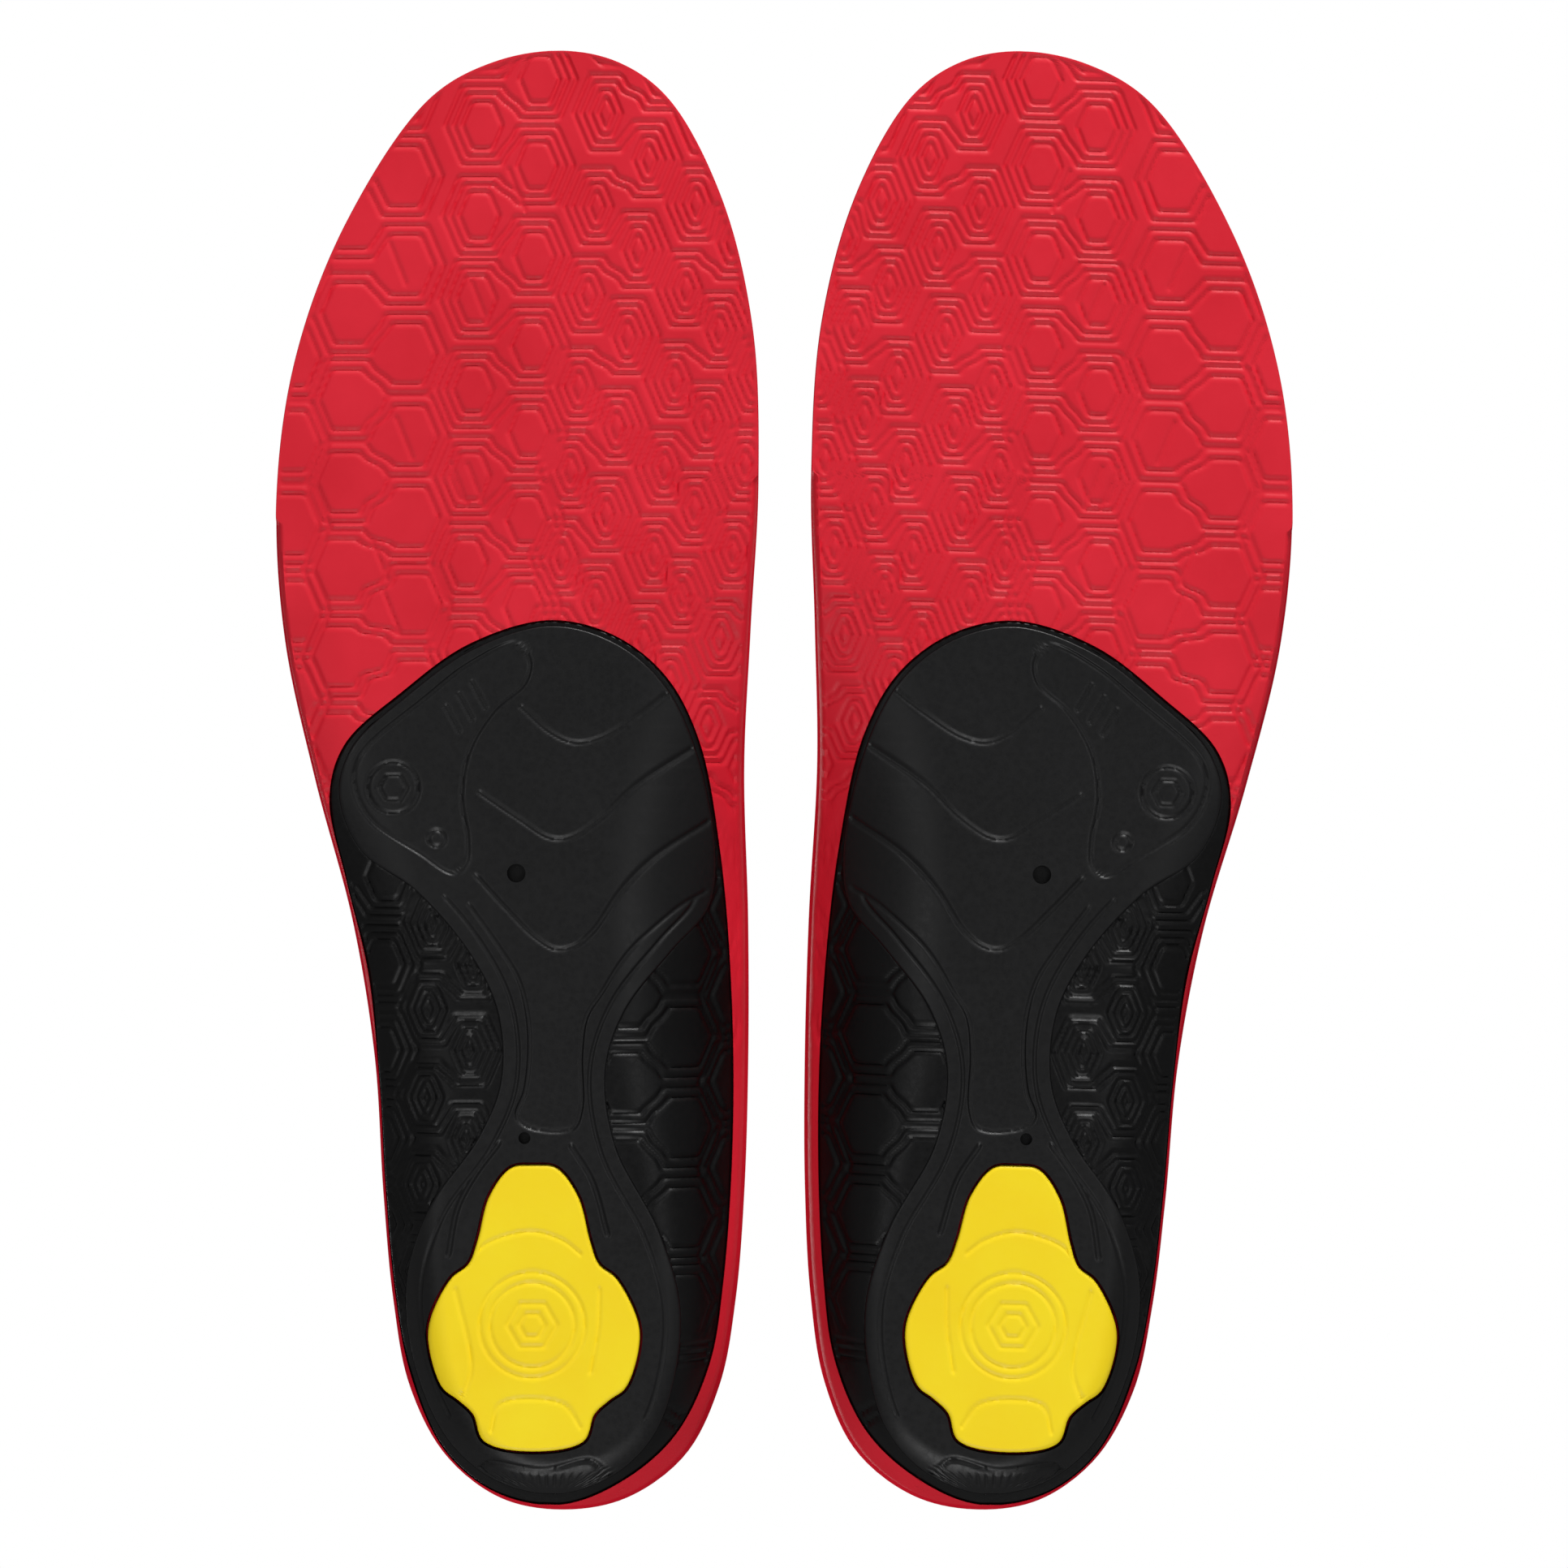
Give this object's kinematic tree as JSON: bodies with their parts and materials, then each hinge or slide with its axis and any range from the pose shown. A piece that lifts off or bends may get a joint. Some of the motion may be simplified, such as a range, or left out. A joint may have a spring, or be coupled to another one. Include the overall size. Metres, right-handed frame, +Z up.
{
  "type": "cushioned insole",
  "caption": "Pair of full-length cushioned shoe insoles: foam base with hexagon relief, black heel and arch cradle, smooth support plate, heel pad and fabric cover.",
  "frame": {"origin": "on the ground under the middle of the pair's box", "axes": "+Y towards the toes, +Z up towards the foot, +X towards the outer side of the right foot"},
  "size_m": [0.1872, 0.27, 0.0267],
  "materials": {
    "cover_fabric": "brushed knit",
    "cushion_foam": "open-cell foam",
    "red_foam": "satin moulded foam",
    "black_foam": "satin moulded",
    "black_plate": "satin",
    "yellow_pad": "satin"
  },
  "bodies": {
    "right_insole": {"right_top_cover": "cover_fabric", "right_cushion_layer": "cushion_foam", "right_foam_base": "red_foam", "right_arch_cradle": "black_foam", "right_support_plate": "black_plate", "right_heel_pad": "yellow_pad"},
    "left_insole": {"left_top_cover": "cover_fabric", "left_cushion_layer": "cushion_foam", "left_foam_base": "red_foam", "left_arch_cradle": "black_foam", "left_support_plate": "black_plate", "left_heel_pad": "yellow_pad"}
  },
  "joints": [
    {"name": "left_insole_lift", "type": "slide", "parent": "right_insole", "child": "left_insole", "axis": [0, 0, 1], "range_m": [0, 0.06]}
  ]
}
